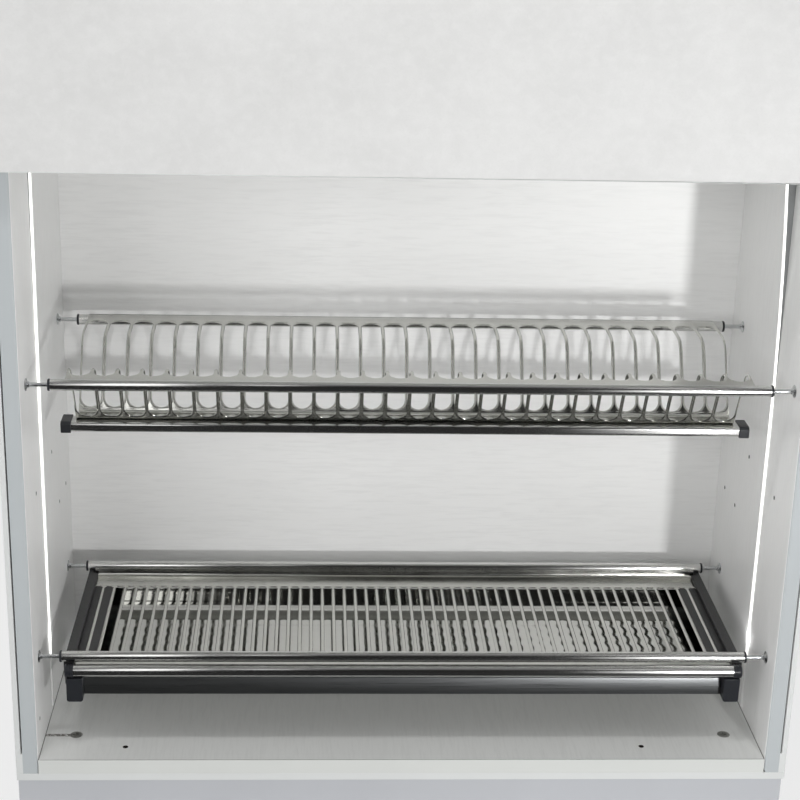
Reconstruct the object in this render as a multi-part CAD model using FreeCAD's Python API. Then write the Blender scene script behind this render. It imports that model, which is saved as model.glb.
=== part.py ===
"""Dish drainer cabinet: a white wall unit on a plinth with a raised lift door, two light bars
in the side panels, a plate rack, and a lower rack with a drip tray that pulls out.

Millimetres. X runs to the right, Y to the back and Z up. The origin is on the floor, under the
middle of the cabinet. Names that end in _in are distances back from the front edge of the side
panels, and names that end in _up are heights above the top face of the bottom panel.
"""
import FreeCAD, Part
import math
import os

Vector = FreeCAD.Vector

# Carcass
board = 18.0                    # laminated chipboard
inner_width = 864.0
inner_height = 764.0
carcass_depth = 350.0
back_board = 9.0
back_inset = 1.0                # the back board lies this far inside the panels' rear edges
skin = 8.0                      # finishing panel on each outer side
base_board_thickness = 9.0
plinth_height = 80.0
plinth_setback = 10.0
hanging_rail_height = 100.0
wall_hole_spacing = 600.0
wall_hole_radius = 4.0
fit = 0.1                       # radial play of a piece that is pushed into a hole

# Panel fittings
cam_radius = 7.5
cam_depth = 12.5
cam_from_side = 37.0
cam_in = (58.0, 282.0)
cam_cross = (8.0, 1.4, 1.6)     # length, width and depth of the driver cross
cam_bolt_radius = 3.0
cam_thread_radius = 2.5
cam_thread_length = 9.0
dowel_radius = 4.0
dowel_length = 30.0
dowel_grip = 9.0                # length in the side panel
dowel_in = (90.0, 250.0)
service_hole_x = (-333.0, 288.0)
service_hole_in = 30.0
service_hole_radius = 3.25
pin_hole_radius = 2.5
pin_hole_depth = 5.5
pin_holes_both = ((244.5, 226.5), (302.0, 227.5), (75.0, 308.0), (200.0, 311.0))
pin_hole_left = (27.0, 40.5)

# Light bars
light_in = 121.0
light_groove_width = 10.0
light_groove_depth = 9.6
light_foot_up = 74.0            # the bars end this far above the bottom panel
light_top_gap = 1.0
light_body_width = 9.4
light_body_depth = 8.6
light_wall = 1.0
light_lens_width = 13.0
light_lens_thickness = 1.2
light_tape_width = 6.0
light_tape_thickness = 0.8
light_chip = (3.0, 2.0, 0.7)    # length, width and height of one light chip
light_chip_pitch = 30.0
light_bend_up = 380.0           # above this height a bar leans out of its groove
light_lean_left = 2.0           # how far its top end stands out
light_lean_right = 15.0

# Tubes that carry the racks, and the rods that pull out of their ends
tube_radius = 6.35
tube_wall = 1.0
tube_end_gap = 27.0             # between a tube's end and the side panel
rear_tube_in = 289.0
front_tube_in = 39.0
upper_tube_up = 453.7
lower_tube_up = 116.3
bush_rim_radius = 6.9
bush_rim = 2.5
bush_plug_length = 15.0
rod_radius = 2.5
rod_play = 0.05
rod_in_tube = 55.0
flange_radius = 7.5
flange_thickness = 1.6
flange_hub_radius = 3.6
flange_hub_length = 2.4
spigot_length = 5.0
spigot_end_gap = 0.5
rod_head_radius = 4.6           # keeps a rod from coming out of its bush
rod_head = 2.0

# Plate rack, one stamped sheet. The points of its middle line are (distance behind the front
# tube, height over the tubes' level).
sheet = 1.0
plate_pitch = 28.0
plate_end_gap = 11.0            # between the sheet's end and the tubes' ends
plate_strip_width = 3.5
front_edge_drop = 2.7
shoulder_front = (58.5, 3.3)
trough_front = (100.0, -76.7)
trough_rear = (124.0, -76.7)
shoulder_rear = (171.0, 5.3)
front_shoulder_bend = 16.0
trough_bend = 6.0
rear_shoulder_bend = 30.0
front_slot_start = 32.5         # round ends of the front slots, behind the front tube
slot_foot_gap = 6.0             # from the trough up either slope, to the slots' round ends
rear_slot_end = 24.0            # in front of the rear tube
bar_depth = 26.0                # flat bar under the trough
bar_height = 12.0
bar_corner = 4.0
bar_wall = 1.0
bar_end_gap = 8.0
bar_start = 87.5                # behind the front tube
bar_cap_thickness = 12.0
bar_cap_over = 0.8
bar_cap_chamfer = 3.0

# Drainer sheet of the lower rack, its nosing tube and the tray rails
drain_pitch = 14.1
drain_slot_width = 10.2
drain_drop = 9.3                # the sheet's top face below the tubes' level
drain_lip_bend = 4.0
drain_lip_gap = 0.7             # between the rear lip and the rear tube
drain_slot_front = 5.0          # behind the front tube
drain_slot_rear = 32.4          # in front of the lip
drain_end_gap = 9.0
drain_slot_margin = 8.0
drain_notch_gap = 0.5           # between a notched corner and the nosing's cap
nosing_radius = 7.0
nosing_wall = 1.0
nosing_ahead = 11.0             # in front of the front tube
nosing_drop = 13.0
nosing_end_gap = 14.4
nosing_cap_length = 10.0
nosing_cap_over = 1.0
nosing_cap_round = 1.5
nosing_rib = 0.7
rail_end_gap = 2.0
rail_floor_width = 22.0
rail_top_width = 12.0
rail_shelf_width = 37.0         # under the drainer sheet's ends
rail_wall = 3.0
rail_floor_drop = 38.5
rail_floor = 2.5
rail_top_drop = 4.3
rail_ahead = 2.6                # in front of the front tube
rail_behind = 8.0
rail_seat_play = 0.3
rail_nose = 14.0                # height of a rail in front of the tray

# Drip tray
tray_wall = 0.8
tray_side_gap = 0.8
tray_lift = 0.4                 # running gap over the rails' floors
tray_height = 14.0              # it slides out under the nosing tube's caps
tray_behind_front = 3.0         # its front wall, behind the front tube
tray_before_rear = 21.0
tray_bend = 3.0
tray_front_height = 7.7         # over the tray's underside
tray_front_thickness = 5.0
tray_front_tilt = 2.5
tray_front_drop = 13.3          # and below it
tray_cap_width = 19.0           # the black ends of the tray's front
tray_cap_depth = 19.0
tray_cap_drop = 16.1            # they reach this far below the tray's underside
tray_cap_corner = 3.0
tray_cap_head_gap = 0.4

# Lift door, its side guides and its balance springs
door_gap = 4.0
door_thickness = 18.0
door_height = 797.0
door_raised_up = 705.0
door_edge = 1.0
guide_depth = 12.0              # groove in the outer face of a side panel
guide_start_in = 20.0
guide_end_in = 48.5
guide_foot_up = 8.0
slot_width = 2.0                # slot between a side panel and its finishing panel
rail_play = 0.2
rail_width = 24.0
rail_metal = 1.5
rail_lip = 4.0
rail_top_gap = 6.0
slider_bottom_up = 730.0
slider_height = 45.0
slider_play = 0.3
arm_thickness = 1.4
arm_play = 0.3
arm_inner_x = 420.0
arm_screw_radius = 2.0
arm_screw_length = 12.0
arm_screw_head = (3.8, 1.4)     # radius and height
slider_screw_head = 3.4
rail_screw_radius = 1.6
rail_screw_head = 2.8
rail_screw_grip = 4.0
rail_screws_up = (120.0, 390.0, 690.0)
buffer_height = 1.6
coil_radius = 15.0
coil_bore = 6.0
coil_width = 8.0
coil_centre_up = 752.0
coil_pocket = 17.0
strip_gap = 0.3                 # between a coil and its straight end
strip_thickness = 0.45
strip_length = 19.0
axle_radius = 3.0
axle_play = 0.05
axle_grip = 4.0

# Levels and faces that follow from the sizes above
front = -carcass_depth / 2
inner_x = inner_width / 2
side_x = inner_x + board
outer_x = side_x + skin
under_bottom = plinth_height + base_board_thickness
floor = under_bottom + board
ceiling = floor + inner_height
carcass_top = ceiling + board
back_face = front + carcass_depth - back_inset - back_board
front_tube_y = front + front_tube_in
rear_tube_y = front + rear_tube_in
upper_tube_z = floor + upper_tube_up
lower_tube_z = floor + lower_tube_up
tube_end_x = inner_x - tube_end_gap
plate_slots_across = int(2 * (tube_end_x - plate_end_gap) / plate_pitch)
drain_end_x = tube_end_x - drain_end_gap
drain_slots_across = int(2 * (drain_end_x - drain_slot_margin) / drain_pitch) + 1
drain_top = lower_tube_z - drain_drop
lip_y = rear_tube_y - tube_radius - drain_lip_gap - sheet / 2
nosing_y = front_tube_y - nosing_ahead
nosing_z = lower_tube_z - nosing_drop
nosing_end_x = tube_end_x - nosing_end_gap
bar_end_x = tube_end_x - bar_end_gap
rail_outer_x = tube_end_x - rail_end_gap
rail_bottom = lower_tube_z - rail_floor_drop
tray_front_y = front_tube_y + tray_behind_front
tray_rear_y = rear_tube_y - tray_before_rear
tray_bottom = rail_bottom + rail_floor + tray_lift

parts = {}


def box(x0, x1, y0, y1, z0, z1):
    return Part.makeBox(x1 - x0, y1 - y0, z1 - z0, Vector(x0, y0, z0))


def round_x(radius, x0, x1, y, z):
    return Part.makeCylinder(radius, x1 - x0, Vector(x0, y, z), Vector(1, 0, 0))


def round_y(radius, y0, y1, x, z):
    return Part.makeCylinder(radius, y1 - y0, Vector(x, y0, z), Vector(0, 1, 0))


def round_z(radius, z0, z1, x, y):
    return Part.makeCylinder(radius, z1 - z0, Vector(x, y, z0), Vector(0, 0, 1))


def mirrored(shape):
    """The same piece on the left side."""
    return shape.mirror(Vector(0, 0, 0), Vector(1, 0, 0))


def both(shape):
    return [shape, mirrored(shape)]


def cut_all(shape, tools):
    return shape.cut(Part.makeCompound(tools)) if tools else shape


def keep(name, *shapes):
    """Stores a node: one solid, or several like pieces that share a name."""
    solids = []
    for shape in shapes:
        solids += shape.Solids
    for solid in solids:
        if not solid.isValid() or solid.Volume <= 0:
            raise ValueError("bad solid in " + name)
    parts[name] = solids[0] if len(solids) == 1 else Part.makeCompound(solids)


def prism_x(points, x0, x1):
    """A straight-sided outline of (y, z) points, pulled along X."""
    corners = [Vector(x0, y, z) for y, z in points]
    wire = Part.makePolygon(corners + corners[:1])
    return Part.Face(wire).extrude(Vector(x1 - x0, 0, 0))


def round_edges(shape, radius, keep_edge):
    edges = [edge for edge in shape.Edges if keep_edge(edge)]
    return shape.makeFillet(radius, edges) if edges and radius > 0 else shape


def runs_along(edge, axis):
    ends = edge.Vertexes
    if len(ends) != 2:
        return False
    step = ends[1].Point - ends[0].Point
    return step.Length > 0 and abs(step.dot(axis)) > 0.999 * step.Length


def tube_x(radius, wall, half_length, y, z):
    outer = round_x(radius, -half_length, half_length, y, z)
    return outer.cut(round_x(radius - wall, -half_length, half_length, y, z))


# Bent sheet

def bent_section(points, bends, thickness, x):
    """A face of even thickness about a bent middle line. points are (y, z); bends has one
    middle-line radius for each corner between the first and the last point."""
    half = thickness / 2
    line = [Vector(x, y, z) for y, z in points]
    runs = []
    for start, end in zip(line, line[1:]):
        step = (end - start).normalize()
        runs.append((step, Vector(0, -step.z, step.y)))
    corners = []
    for index, bend in enumerate(bends):
        before, after = runs[index][0], runs[index + 1][0]
        turn = before.getAngle(after)
        side = 1.0 if before.cross(after).x > 0 else -1.0
        reach = bend * math.tan(turn / 2)
        corner = line[index + 1]
        centre = corner - before * reach + runs[index][1] * (side * bend)
        corners.append((corner - before * reach, corner + after * reach, corner, centre, side, bend))
    sides = []
    for offset in (half, -half):
        edges = []
        place = line[0] + runs[0][1] * offset
        for index, (enter, leave, corner, centre, side, bend) in enumerate(corners):
            radius = bend - side * offset
            first = enter + runs[index][1] * offset
            last = leave + runs[index + 1][1] * offset
            middle = centre + (corner - centre).normalize() * radius
            edges.append(Part.LineSegment(place, first).toShape())
            edges.append(Part.Arc(first, middle, last).toShape())
            place = last
        end = line[-1] + runs[-1][1] * offset
        edges.append(Part.LineSegment(place, end).toShape())
        sides.append((edges, line[0] + runs[0][1] * offset, end))
    (upper, upper_start, upper_end), (lower, lower_start, lower_end) = sides
    closing = [Part.LineSegment(upper_end, lower_end).toShape(),
               Part.LineSegment(lower_start, upper_start).toShape()]
    wire = Part.Wire(Part.__sortEdges__(upper + lower + closing))
    return Part.Face(wire)


def slot_places(count, pitch):
    """Middles of the slots in a row that is centred on the cabinet, from the left."""
    return [(index - (count - 1) / 2) * pitch for index in range(count)]


# Carcass

def cam_bore(x, depth_in, top):
    return round_z(cam_radius + fit, top - cam_depth - fit, top, x, front + depth_in)


def panel_bores(top):
    """Holes in the bottom or the top panel for its fittings, on both sides."""
    middle = top - board / 2
    tools = []
    for depth_in in cam_in:
        tools += both(cam_bore(inner_x - cam_from_side, depth_in, top))
        tools += both(round_x(cam_bolt_radius + fit, inner_x - cam_from_side, inner_x,
                              front + depth_in, middle))
    for depth_in in dowel_in:
        tools += both(round_x(dowel_radius + fit, inner_x - dowel_length + dowel_grip - 1, inner_x,
                              front + depth_in, middle))
    return tools


def service_holes(z0, z1):
    return [round_z(service_hole_radius, z0, z1, x, front + service_hole_in)
            for x in service_hole_x]


def make_panels():
    bottom = box(-inner_x, inner_x, front, back_face, under_bottom, floor)
    keep("bottom_panel", cut_all(bottom, panel_bores(floor) + service_holes(under_bottom, floor)))
    top = box(-inner_x, inner_x, front, back_face, ceiling, carcass_top)
    keep("top_panel", cut_all(top, panel_bores(carcass_top)))
    wall_holes = both(round_y(wall_hole_radius, back_face - board, back_face + back_board,
                              wall_hole_spacing / 2, ceiling - hanging_rail_height / 2))
    back = box(-inner_x, inner_x, back_face, back_face + back_board, under_bottom, carcass_top)
    keep("back_panel", cut_all(back, wall_holes))
    rail = box(-inner_x, inner_x, back_face - board, back_face,
               ceiling - hanging_rail_height, ceiling)
    keep("hanging_rail", cut_all(rail, wall_holes))


def side_bores(with_left_hole):
    """Everything that is drilled or milled in a side panel, on the right."""
    tools = [box(inner_x, inner_x + light_groove_depth,
                 front + light_in - light_groove_width / 2,
                 front + light_in + light_groove_width / 2, floor, ceiling)]
    for depth_in, up in pin_holes_both + ((pin_hole_left,) if with_left_hole else ()):
        tools.append(round_x(pin_hole_radius, inner_x, inner_x + pin_hole_depth,
                             front + depth_in, floor + up))
    for z in (upper_tube_z, lower_tube_z):
        for y in (front_tube_y, rear_tube_y):
            tools.append(round_x(rod_radius + rod_play, inner_x,
                                 inner_x + spigot_length + spigot_end_gap, y, z))
    for top in (floor, carcass_top):
        for depth_in in cam_in:
            tools.append(round_x(cam_thread_radius + fit, inner_x,
                                 inner_x + cam_thread_length + 1, front + depth_in, top - board / 2))
        for depth_in in dowel_in:
            tools.append(round_x(dowel_radius + fit, inner_x, inner_x + dowel_grip + 1,
                                 front + depth_in, top - board / 2))
    guide_x = side_x - guide_depth
    tools.append(box(guide_x, side_x, front + guide_start_in, front + guide_end_in,
                     floor + guide_foot_up, carcass_top))
    coil_y = front + coil_in
    tools.append(round_x(coil_pocket, guide_x, side_x, coil_y, floor + coil_centre_up))
    tools.append(round_x(axle_radius, guide_x - axle_grip, guide_x, coil_y, floor + coil_centre_up))
    for up in rail_screws_up:
        tools.append(round_x(rail_screw_radius, guide_x - rail_screw_grip, guide_x,
                             front + rail_middle_in, floor + up))
    return tools


def make_sides():
    blank = box(inner_x, side_x, front, front + carcass_depth, under_bottom, carcass_top)
    keep("side_panel_right", cut_all(blank, side_bores(False)))
    keep("side_panel_left", mirrored(cut_all(blank, side_bores(True))))
    cover = box(side_x, outer_x, front, front + carcass_depth, under_bottom, carcass_top)
    slot = box(side_x, side_x + slot_width, front, front + guide_end_in,
               floor + guide_foot_up, carcass_top)
    cover = cover.cut(slot)
    keep("end_skin_right", cover)
    keep("end_skin_left", mirrored(cover))


def make_plinth():
    base = box(-outer_x, outer_x, front, front + carcass_depth, plinth_height, under_bottom)
    keep("base_board", cut_all(base, service_holes(plinth_height, under_bottom)))
    first = front + plinth_setback
    last = front + carcass_depth - plinth_setback
    keep("plinth_boards",
         box(-outer_x, outer_x, first, first + board, 0, plinth_height),
         box(-outer_x, outer_x, last - board, last, 0, plinth_height))
    keep("plinth_ends", *both(box(outer_x - board, outer_x, first + board, last - board,
                                  0, plinth_height)))
    keep("plinth_rib", box(-board / 2, board / 2, first + board, last - board, 0, plinth_height))


def make_fittings():
    length, width, depth = cam_cross
    cams, bolts, dowels = [], [], []
    for top in (floor, carcass_top):
        middle = top - board / 2
        for depth_in in cam_in:
            x, y = inner_x - cam_from_side, front + depth_in
            cam = round_z(cam_radius, top - cam_depth, top, x, y)
            cam = cut_all(cam, [
                box(x - length / 2, x + length / 2, y - width / 2, y + width / 2, top - depth, top),
                box(x - width / 2, x + width / 2, y - length / 2, y + length / 2, top - depth, top),
                round_x(cam_bolt_radius + fit, x, x + cam_radius, y, middle)])
            cams += both(cam)
            bolt = round_x(cam_bolt_radius, x, inner_x, y, middle)
            bolt = bolt.fuse(round_x(cam_thread_radius, inner_x, inner_x + cam_thread_length,
                                     y, middle))
            bolts += both(bolt)
        for depth_in in dowel_in:
            dowel = round_x(dowel_radius, inner_x + dowel_grip - dowel_length,
                            inner_x + dowel_grip, front + depth_in, middle)
            dowels += both(dowel)
    keep("cam_locks", *cams)
    keep("cam_bolts", *bolts)
    keep("wooden_dowels", *dowels)


# Light bars

def bar_plate(lean, depth0, depth1, y0, y1, z0, z1):
    """A plate of a light bar on the right side. Its depths are from the panel's inner face
    into the groove, and above the bend it follows an arc that leans out of the groove."""
    bend = floor + light_bend_up
    rise = ceiling - light_top_gap - bend
    radius = (rise ** 2 + lean ** 2) / (2 * lean)

    def outline_point(depth, z):
        if z <= bend:
            return Vector(inner_x + depth, y0, z)
        angle = math.asin((z - bend) / radius)
        reach = radius + depth
        return Vector(inner_x - radius + reach * math.cos(angle), y0,
                      bend + reach * math.sin(angle))

    def side_edges(depth):
        edges = []
        low, high = outline_point(depth, z0), outline_point(depth, z1)
        if z0 < bend:
            knee = outline_point(depth, min(bend, z1))
            edges.append(Part.LineSegment(low, knee).toShape())
            low = knee
        if z1 > bend:
            middle = outline_point(depth, (max(z0, bend) + z1) / 2)
            edges.append(Part.Arc(low, middle, high).toShape())
        return edges

    closing = [Part.LineSegment(outline_point(depth0, z0), outline_point(depth1, z0)).toShape(),
               Part.LineSegment(outline_point(depth0, z1), outline_point(depth1, z1)).toShape()]
    wire = Part.Wire(Part.__sortEdges__(side_edges(depth0) + side_edges(depth1) + closing))
    return Part.Face(wire).extrude(Vector(0, y1 - y0, 0))


def light_bar(lean):
    """Channel, tape and lens of one bar, on the right side."""
    low = floor + light_foot_up
    high = ceiling - light_top_gap
    middle = front + light_in
    half = light_body_width / 2

    def plate(depth0, depth1, y0, y1, z0=low, z1=high):
        return bar_plate(lean, depth0, depth1, middle + y0, middle + y1, z0, z1)

    web = plate(light_body_depth - light_wall, light_body_depth, -half, half)
    channel = web.fuse([plate(0, light_body_depth - light_wall, -half, -half + light_wall),
                        plate(0, light_body_depth - light_wall, half - light_wall, half)])
    tape_back = light_body_depth - light_wall
    tape_face = tape_back - light_tape_thickness
    tape = plate(tape_face, tape_back, -light_tape_width / 2, light_tape_width / 2)
    length, width, height = light_chip
    chips = []
    count = int((high - low) // light_chip_pitch)
    for index in range(count):
        z = low + (index + 0.5) * light_chip_pitch
        chips.append(plate(tape_face - height, tape_face, -width / 2, width / 2,
                           z - length / 2, z + length / 2))
    tape = tape.fuse(chips)
    inner = half - light_wall - fit
    lens = plate(-light_lens_thickness, 0, -light_lens_width / 2, light_lens_width / 2)
    lens = lens.fuse([plate(0, 2 * light_wall, -inner, -inner + light_wall),
                      plate(0, 2 * light_wall, inner - light_wall, inner)])
    return channel.removeSplitter(), tape.removeSplitter(), lens.removeSplitter()


def make_lights():
    right = light_bar(light_lean_right)
    left = [mirrored(piece) for piece in light_bar(light_lean_left)]
    for name, right_piece, left_piece in zip(("light_channels", "light_tapes", "light_lenses"),
                                             right, left):
        keep(name, right_piece, left_piece)


# Tubes and rods

def make_tubes():
    bushes = []
    for z, name in ((upper_tube_z, "upper_tubes"), (lower_tube_z, "lower_tubes")):
        places = [front_tube_y, rear_tube_y]
        keep(name, *[tube_x(tube_radius, tube_wall, tube_end_x, y, z) for y in places])
        for y in places:
            rim = round_x(bush_rim_radius, tube_end_x, tube_end_x + bush_rim, y, z)
            plug = round_x(tube_radius - tube_wall - fit / 2,
                           tube_end_x - bush_plug_length, tube_end_x, y, z)
            bore = round_x(rod_radius + rod_play, tube_end_x - bush_plug_length,
                           tube_end_x + bush_rim, y, z)
            bushes += both(rim.fuse(plug).cut(bore))
    keep("rod_bushes", *bushes)


def end_rod(y, z):
    """A rod with its head inside the tube, its flange on the side panel and its spigot."""
    start = tube_end_x - rod_in_tube
    rod = round_x(rod_radius, start, inner_x + spigot_length, y, z)
    head = round_x(rod_head_radius, start, start + rod_head, y, z)
    flange = round_x(flange_radius, inner_x - flange_thickness, inner_x, y, z)
    hub = round_x(flange_hub_radius, inner_x - flange_thickness - flange_hub_length,
                  inner_x - flange_thickness, y, z)
    flange = flange.fuse(hub)
    flange = round_edges(flange, flange_thickness / 2,
                         lambda edge: abs(edge.BoundBox.XMin - inner_x + flange_thickness) < 0.01
                         and edge.BoundBox.YLength > 2 * flange_radius - 0.1)
    return rod.fuse([head, flange]).removeSplitter()


def make_rods():
    for z, rack in ((upper_tube_z, "upper"), (lower_tube_z, "lower")):
        rods = [end_rod(y, z) for y in (front_tube_y, rear_tube_y)]
        keep(rack + "_rods_right", *rods)
        keep(rack + "_rods_left", *[mirrored(rod) for rod in rods])


# Plate rack

def from_tubes(point):
    """(y, z) of a point that is given from the upper tubes."""
    return front_tube_y + point[0], upper_tube_z + point[1]


def plate_line():
    """Middle line of the plate rack's sheet from the front tube to the top of the rear one."""
    reach = tube_radius + fit
    edge_gap = math.sqrt(reach ** 2 - (front_edge_drop - sheet / 2) ** 2)
    start = (front_tube_y + edge_gap, upper_tube_z - front_edge_drop)
    end = (rear_tube_y, upper_tube_z + tube_radius + sheet / 2 + fit / 2)
    bends = (shoulder_front, trough_front, trough_rear, shoulder_rear)
    return [start] + [from_tubes(point) for point in bends] + [end]


def plate_section(x):
    bends = [front_shoulder_bend, trough_bend, trough_bend, rear_shoulder_bend]
    return bent_section(plate_line(), bends, sheet, x)


slot_radius = (plate_pitch - plate_strip_width) / 2
plate_low = upper_tube_z + trough_front[1] - bar_height
plate_high = upper_tube_z + tube_radius + bar_height
front_slot_y = front_tube_y + front_slot_start + slot_radius
rear_slot_stop_y = rear_tube_y - rear_slot_end - slot_radius


def slope_end(foot_point, shoulder_point):
    """Middle of a slot's round end low on a slope, and the way from there into the trough,
    square to the slope."""
    foot = Vector(0, *from_tubes(foot_point))
    slope = (Vector(0, *from_tubes(shoulder_point)) - foot).normalize()
    inward = Vector(0, abs(slope.z), abs(slope.y))
    if slope.y > 0:
        inward.y = -inward.y
    return foot + slope * (slot_foot_gap + slot_radius), inward


front_slot_foot, front_inward = slope_end(trough_front, shoulder_front)
rear_slot_foot, rear_inward = slope_end(trough_rear, shoulder_rear)


def plate_slots():
    """Slot cutters: each has round ends, upright at the front and the rear, and square to the
    slopes down in the trough."""
    tools = []
    runs = ((front_slot_foot, front_inward, front_slot_y),
            (rear_slot_foot, rear_inward, rear_slot_stop_y))
    for x in slot_places(plate_slots_across, plate_pitch):
        x0, x1 = x - slot_radius, x + slot_radius
        for foot, inward, level_y in runs:
            inner, outer = foot + inward * slot_radius, foot - inward * slot_radius
            tools.append(round_z(slot_radius, upper_tube_z - tube_radius, plate_high,
                                 x, level_y))
            tools.append(Part.makeCylinder(slot_radius, 2 * slot_radius,
                                           Vector(x, inner.y, inner.z), inward * -1))
            tools.append(prism_x([(outer.y, outer.z), (inner.y, inner.z),
                                  (inner.y, plate_high), (level_y, plate_high),
                                  (level_y, outer.z)], x0, x1))
    return tools


def make_plate_rack():
    half = plate_slots_across / 2 * plate_pitch + plate_strip_width / 2
    band = plate_section(-half).extrude(Vector(2 * half, 0, 0))
    band = cut_all(band, plate_slots())
    stop = rear_slot_stop_y
    middle = front_tube_y + (trough_front[0] + trough_rear[0]) / 2
    split = rear_slot_foot.z
    zones = {
        "plate_front_band": (front, front_slot_y, plate_low, plate_high),
        "plate_front_strips": (front_slot_y, middle, split, plate_high),
        "plate_trough": (front_slot_y, stop, plate_low, split),
        "plate_rear_strips": (middle, stop, split, plate_high),
        "plate_rear_band": (stop, back_face, plate_low, plate_high)}
    for name, limits in zones.items():
        keep(name, band.common(box(-inner_x, inner_x, *limits)))


def flat_tube(y0, y1, z0, z1, corner, half_length):
    bar = box(-half_length, half_length, y0, y1, z0, z1)
    return round_edges(bar, corner, lambda edge: runs_along(edge, Vector(1, 0, 0)))


def make_trough_bar():
    top = upper_tube_z + trough_front[1] - sheet / 2
    bottom = top - bar_height
    y0 = front_tube_y + bar_start
    y1 = y0 + bar_depth
    outer = flat_tube(y0, y1, bottom, top, bar_corner, bar_end_x)
    inner = flat_tube(y0 + bar_wall, y1 - bar_wall, bottom + bar_wall, top - bar_wall,
                      bar_corner - bar_wall, bar_end_x)
    keep("trough_bar", outer.cut(inner))
    cap_y0, cap_y1 = y0 - bar_cap_over, y1 + bar_cap_over
    cap_z0, cap_z1 = bottom - bar_cap_over, top + bar_cap_over
    outline = [(cap_y0, cap_z0), (cap_y1, cap_z0), (cap_y1, cap_z1),
               (cap_y0 + bar_cap_chamfer, cap_z1), (cap_y0, cap_z1 - bar_cap_chamfer)]
    cap = prism_x(outline, bar_end_x, bar_end_x + bar_cap_thickness)
    cap = round_edges(cap, bar_wall, lambda edge: edge.BoundBox.XMin > bar_end_x + bar_wall)
    plug = box(bar_end_x - bar_height, bar_end_x, y0 + bar_corner, y1 - bar_corner,
               bottom + bar_wall + fit, top - bar_wall - fit)
    keep("trough_bar_caps", *both(cap.fuse(plug)))


# Lower rack

def make_drain_sheet():
    middle = drain_top - sheet / 2
    reach = nosing_radius + fit
    rise = min(abs(drain_top - nosing_z), abs(drain_top - sheet - nosing_z))
    nosing_back = nosing_y + math.sqrt(reach ** 2 - rise ** 2)
    points = [(nosing_back, middle), (lip_y, middle), (lip_y, lower_tube_z)]
    section = bent_section(points, [drain_lip_bend], sheet, -drain_end_x)
    plate = section.extrude(Vector(2 * drain_end_x, 0, 0))
    radius = drain_slot_width / 2
    y0 = front_tube_y + drain_slot_front + radius
    y1 = lip_y - drain_slot_rear - radius
    z0, z1 = drain_top - 2 * sheet, drain_top + sheet
    notch_rear = nosing_y + nosing_radius + nosing_cap_over + drain_notch_gap
    tools = both(box(nosing_end_x - drain_notch_gap, tube_end_x, nosing_y, notch_rear, z0, z1))
    for x in slot_places(drain_slots_across, drain_pitch):
        tools.append(box(x - radius, x + radius, y0, y1, z0, z1))
        tools.append(round_z(radius, z0, z1, x, y0))
        tools.append(round_z(radius, z0, z1, x, y1))
    keep("drain_sheet", cut_all(plate, tools))


def make_nosing():
    y, z = nosing_y, nosing_z
    keep("nosing_tube", tube_x(nosing_radius, nosing_wall, nosing_end_x, y, z))
    end = nosing_end_x + nosing_cap_length
    cap_radius = nosing_radius + nosing_cap_over
    cap = round_x(cap_radius, nosing_end_x, end, y, z)
    cap = round_edges(cap, nosing_cap_round,
                      lambda edge: abs(edge.BoundBox.XMin - end) < nosing_rib / 10)
    for share in (0.3, 0.62):
        middle = nosing_end_x + share * nosing_cap_length
        groove = round_x(cap_radius + fit, middle - nosing_rib, middle + nosing_rib, y, z)
        groove = groove.cut(round_x(cap_radius - nosing_rib, middle - nosing_rib,
                                    middle + nosing_rib, y, z))
        cap = cap.cut(groove)
    plug = round_x(nosing_radius - nosing_wall - fit, nosing_end_x - nosing_cap_length,
                   nosing_end_x, y, z)
    keep("nosing_caps", *both(cap.fuse(plug)))


def make_rails():
    """C-shaped rails that hang on the lower tubes, hold the drainer sheet's ends and carry
    the tray."""
    y0, y1 = front_tube_y - rail_ahead, rear_tube_y + rail_behind
    top = lower_tube_z - rail_top_drop
    under = drain_top - sheet
    inner = rail_outer_x - rail_floor_width
    lip = rail_outer_x - rail_top_width
    shelf_x = rail_outer_x - rail_shelf_width
    web = box(rail_outer_x - rail_wall, rail_outer_x, y0, y1, rail_bottom, top)
    bottom = box(inner, rail_outer_x, y0, y1, rail_bottom, rail_bottom + rail_floor)
    ledge = box(lip, rail_outer_x, y0, y1, under - rail_floor, top)
    shelf = box(shelf_x, rail_outer_x, y0, y1, under - rail_floor, under)
    rail = web.fuse([bottom, ledge, shelf]).removeSplitter()
    cuts = [box(shelf_x, drain_end_x + fit, y0, y1, under - fit / 2, drain_top + fit),
            box(lip, drain_end_x + fit, lip_y - drain_lip_bend - sheet, y1, under, top),
            box(inner, rail_outer_x, y0, tray_front_y + tray_lift, rail_bottom, top - rail_nose)]
    for y in (front_tube_y, rear_tube_y):
        cuts.append(round_x(tube_radius + rail_seat_play, inner, rail_outer_x, y, lower_tube_z))
    rail = cut_all(rail, cuts)
    keep("tray_rail_right", rail)
    keep("tray_rail_left", mirrored(rail))


def open_box(half, y0, y1, z0, z1, wall, bend):
    """A pressed tray with rounded lower edges."""
    body = box(-half, half, y0, y1, z0, z1)
    body = round_edges(body, bend, lambda edge: edge.BoundBox.ZMax < z0 + wall / 2)
    hollow = box(-half + wall, half - wall, y0 + wall, y1 - wall, z0 + wall, z1 + wall)
    hollow = round_edges(hollow, bend - wall,
                         lambda edge: edge.BoundBox.ZMax < z0 + 1.5 * wall)
    return body.cut(hollow)


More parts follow.
